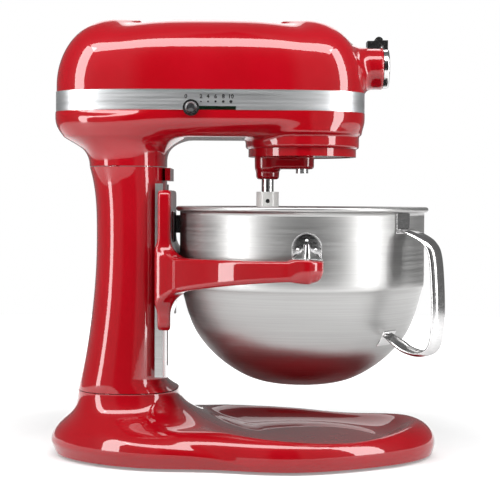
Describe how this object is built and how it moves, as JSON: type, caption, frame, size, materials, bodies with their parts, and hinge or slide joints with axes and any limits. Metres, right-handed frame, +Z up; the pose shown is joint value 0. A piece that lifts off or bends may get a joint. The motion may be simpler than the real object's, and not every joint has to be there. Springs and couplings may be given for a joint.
{
  "type": "stand mixer",
  "caption": "Bowl-lift stand mixer: enamelled base, column and head, planetary beater drive, front attachment hub and a steel bowl on a lifting yoke.",
  "frame": {"origin": "on the worktop under the feet, at the middle of the base's length, in the plane of symmetry", "axes": "+X towards the attachment hub (front), +Y to the mixer's left, +Z up"},
  "size_m": [0.371, 0.287, 0.4194],
  "materials": {
    "red_enamel": "high-gloss enamel",
    "rubber": "matt",
    "silver_band": "satin",
    "black_plastic": "gloss",
    "polished_steel": "polished",
    "brushed_steel": "brushed",
    "machined_steel": "machined",
    "cast_aluminium": "as cast",
    "copper": "wound wire",
    "bearing_bronze": "sintered",
    "circuit_board": "matt",
    "white_coating": "satin"
  },
  "bodies": {
    "stand": {"base": "red_enamel", "rubber_feet": "rubber", "column": "red_enamel", "lift_rails": "brushed_steel", "assembly_screws": "machined_steel", "column_front_cover": "red_enamel", "head_lower_housing": "red_enamel", "trim_band": "silver_band", "head_top_cover": "red_enamel", "speed_scale": "silver_band", "rear_vent_grille": "black_plastic", "cord_gland": "black_plastic", "motor_stator": "machined_steel", "field_coils": "copper", "motor_rear_bracket": "cast_aluminium", "motor_front_bracket": "cast_aluminium", "armature_bearings": "machined_steel", "brush_holders": "black_plastic", "gear_case": "cast_aluminium", "gear_case_bearings": "machined_steel", "speed_control_board": "circuit_board", "ring_gear": "machined_steel", "drip_ring": "red_enamel", "hub_sleeve": "brushed_steel", "hub_hinge_bracket": "polished_steel", "lift_shaft_bush": "bearing_bronze"},
    "armature": {"armature_shaft": "machined_steel", "armature_core": "machined_steel", "commutator": "copper", "cooling_fan": "black_plastic"},
    "layshaft": {"layshaft": "machined_steel", "layshaft_gear": "machined_steel", "bevel_pinion": "machined_steel"},
    "planetary": {"planetary_housing": "red_enamel", "centre_shaft": "machined_steel", "bevel_gear": "machined_steel", "retaining_ring": "machined_steel"},
    "agitator": {"agitator_shaft": "polished_steel", "agitator_pin": "polished_steel", "planet_pinion": "machined_steel", "beater": "white_coating"},
    "hub_drive": {"hub_drive_shaft": "machined_steel"},
    "hub_cover": {"hub_cover": "polished_steel", "hub_cover_pin": "polished_steel"},
    "hub_knob": {"hub_knob": "black_plastic"},
    "speed_lever": {"speed_lever_arm": "machined_steel", "speed_lever_ring": "polished_steel", "speed_lever_knob": "black_plastic"},
    "lift_lever": {"lift_crankshaft": "machined_steel", "lift_lever": "polished_steel", "lift_lever_grip": "rubber"},
    "yoke": {"bowl_yoke": "red_enamel", "locating_pins": "polished_steel", "bowl_latch_spring": "polished_steel", "lift_slider": "machined_steel", "yoke_screws": "machined_steel"},
    "bowl": {"bowl": "brushed_steel", "bowl_handle": "polished_steel", "bowl_brackets": "polished_steel", "bowl_rear_clip": "black_plastic"}
  },
  "joints": [
    {"name": "planetary_spin", "type": "hinge", "parent": "stand", "child": "planetary", "pos_m": [0.055, 0, 0.28], "axis": [0, 0, 1], "continuous": true},
    {"name": "agitator_spin", "type": "hinge", "parent": "planetary", "child": "agitator", "pos_m": [0.0217, 0, 0.28], "axis": [0, 0, 1], "continuous": true},
    {"name": "layshaft_spin", "type": "hinge", "parent": "stand", "child": "layshaft", "pos_m": [-0.03, 0, 0.3744], "axis": [1, 0, 0], "continuous": true},
    {"name": "armature_spin", "type": "hinge", "parent": "stand", "child": "armature", "pos_m": [-0.1, 0, 0.3484], "axis": [1, 0, 0], "continuous": true},
    {"name": "hub_drive_spin", "type": "hinge", "parent": "stand", "child": "hub_drive", "pos_m": [0.095, 0, 0.3744], "axis": [1, 0, 0], "continuous": true},
    {"name": "bowl_lift", "type": "slide", "parent": "stand", "child": "yoke", "axis": [0, 0, 1], "range_m": [-0.045, 0]},
    {"name": "lift_lever_turn", "type": "hinge", "parent": "stand", "child": "lift_lever", "pos_m": [-0.1, 0, 0.15], "axis": [0, -1, 0], "range_deg": [0, 120]},
    {"name": "bowl_removal", "type": "slide", "parent": "yoke", "child": "bowl", "axis": [0, 0, 1], "range_m": [0, 0.012]},
    {"name": "speed_lever_slide", "type": "slide", "parent": "stand", "child": "speed_lever", "axis": [1, 0, 0], "range_m": [0, 0.0376]},
    {"name": "hub_cover_hinge", "type": "hinge", "parent": "stand", "child": "hub_cover", "pos_m": [0.1277, 0, 0.4002], "axis": [0, -1, 0], "range_deg": [0, 100]},
    {"name": "hub_knob_turn", "type": "hinge", "parent": "stand", "child": "hub_knob", "pos_m": [0.1235, 0.03, 0.3744], "axis": [0, 1, 0], "range_deg": [0, 360]}
  ],
  "couplings": [
    {"joint": "agitator_spin", "follows": "planetary_spin", "ratio": -4},
    {"joint": "layshaft_spin", "follows": "planetary_spin", "ratio": -3},
    {"joint": "armature_spin", "follows": "planetary_spin", "ratio": 10},
    {"joint": "hub_drive_spin", "follows": "planetary_spin", "ratio": 3},
    {"joint": "lift_lever_turn", "follows": "bowl_lift", "rad_per_m": -46.54}
  ]
}
